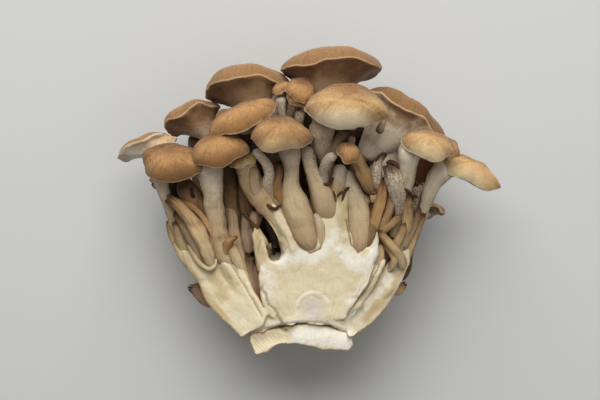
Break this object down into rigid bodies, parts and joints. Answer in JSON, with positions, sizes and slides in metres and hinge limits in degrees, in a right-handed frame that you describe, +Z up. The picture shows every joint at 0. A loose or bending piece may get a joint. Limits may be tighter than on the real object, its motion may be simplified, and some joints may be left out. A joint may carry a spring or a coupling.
{
  "type": "maitake mushroom cluster",
  "caption": "Halved edible mushroom cluster lying on its back: a pale cut base, branching stems and wavy brown caps.",
  "frame": {"origin": "on the table plane, under the middle of the cluster's bounding box", "axes": "+X across the cluster, +Y from the trimmed heel to the caps, +Z up, out of the knife-cut face"},
  "size_m": [0.1544, 0.1236, 0.0659],
  "materials": {
    "cap_skin": "matte, silky golden brown skin with radial fibres",
    "dark_skin": "matte, darker brown skin, greyer on the pored underside",
    "stem_flesh": "matte, pale tan with lengthwise fibres and fuzzy white patches",
    "cut_flesh": "moist, cream cut flesh with paler mottling and brown seams",
    "shoot_flesh": "matte, drying brown shoots with dark tips"
  },
  "bodies": {
    "root": {"cap_back_1": "dark_skin", "cap_back_2": "dark_skin", "cap_back_3": "dark_skin", "cap_back_4": "dark_skin", "cap_between_crowns": "dark_skin", "cap_centre_left": "cap_skin", "cap_centre_right": "cap_skin", "cap_crown_left": "dark_skin", "cap_crown_right": "dark_skin", "cap_far_left": "dark_skin", "cap_far_right": "cap_skin", "cap_left_back": "dark_skin", "cap_left_front": "cap_skin", "cap_left_middle": "cap_skin", "cap_left_ridge": "cap_skin", "cap_left_tuft": "dark_skin", "cap_low_right": "dark_skin", "cap_right_lobe": "dark_skin", "cap_right_upper": "cap_skin", "cap_right_wing": "dark_skin", "cap_small_curl": "cap_skin", "cap_small_left": "cap_skin", "core_branch": "cut_flesh", "flap_left": "shoot_flesh", "flap_right": "shoot_flesh", "left_branch": "cut_flesh", "right_branch": "cut_flesh", "shoot_arm_curl": "shoot_flesh", "shoot_arm_lip": "shoot_flesh", "shoot_curl_stem": "shoot_flesh", "shoot_fork": "shoot_flesh", "shoot_fuzzy": "shoot_flesh", "shoot_grey": "shoot_flesh", "shoot_left_stub": "shoot_flesh", "shoot_pale_notch": "shoot_flesh", "shoot_right_tan": "shoot_flesh", "shoot_seam_inner": "shoot_flesh", "shoot_seam_outer": "shoot_flesh", "shoot_speckled": "shoot_flesh", "shoot_tan_taper": "shoot_flesh", "stem_back_1": "stem_flesh", "stem_back_2": "stem_flesh", "stem_back_3": "stem_flesh", "stem_back_4": "stem_flesh", "stem_bulb_left": "stem_flesh", "stem_bulb_right": "stem_flesh", "stem_centre_right": "stem_flesh", "stem_crown_left": "stem_flesh", "stem_crown_right": "stem_flesh", "stem_far_right": "stem_flesh", "stem_left_back": "stem_flesh", "stem_left_deep": "stem_flesh", "stem_left_outer": "stem_flesh", "stem_left_wide": "stem_flesh", "stem_low_right": "stem_flesh", "stem_middle": "stem_flesh", "stem_ridge": "stem_flesh", "stem_right_upper": "stem_flesh", "stem_wing": "stem_flesh"}
  },
  "joints": []
}
